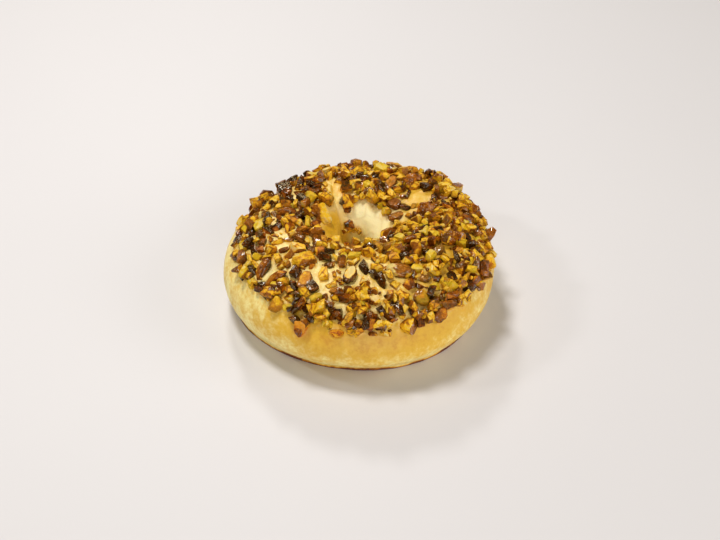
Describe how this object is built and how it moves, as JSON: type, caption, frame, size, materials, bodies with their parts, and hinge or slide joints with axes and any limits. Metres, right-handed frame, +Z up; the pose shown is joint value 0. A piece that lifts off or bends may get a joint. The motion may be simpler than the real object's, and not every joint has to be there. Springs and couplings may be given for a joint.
{
  "type": "nut-topped bagel",
  "caption": "Round bagel of pale baked dough with a small funnel-like hole set off centre, its top covered in chopped toasted nuts and its base flat and browned.",
  "frame": {"origin": "on the flat base, under the middle of the ring's box", "axes": "+Z up through the hole, -Y towards the side shown nearest in the picture, +X to that view's right"},
  "size_m": [0.1069, 0.1057, 0.0377],
  "materials": {
    "crust": "matte",
    "nuts": "satin"
  },
  "bodies": {
    "root": {"bagel": "crust"}
  },
  "joints": []
}
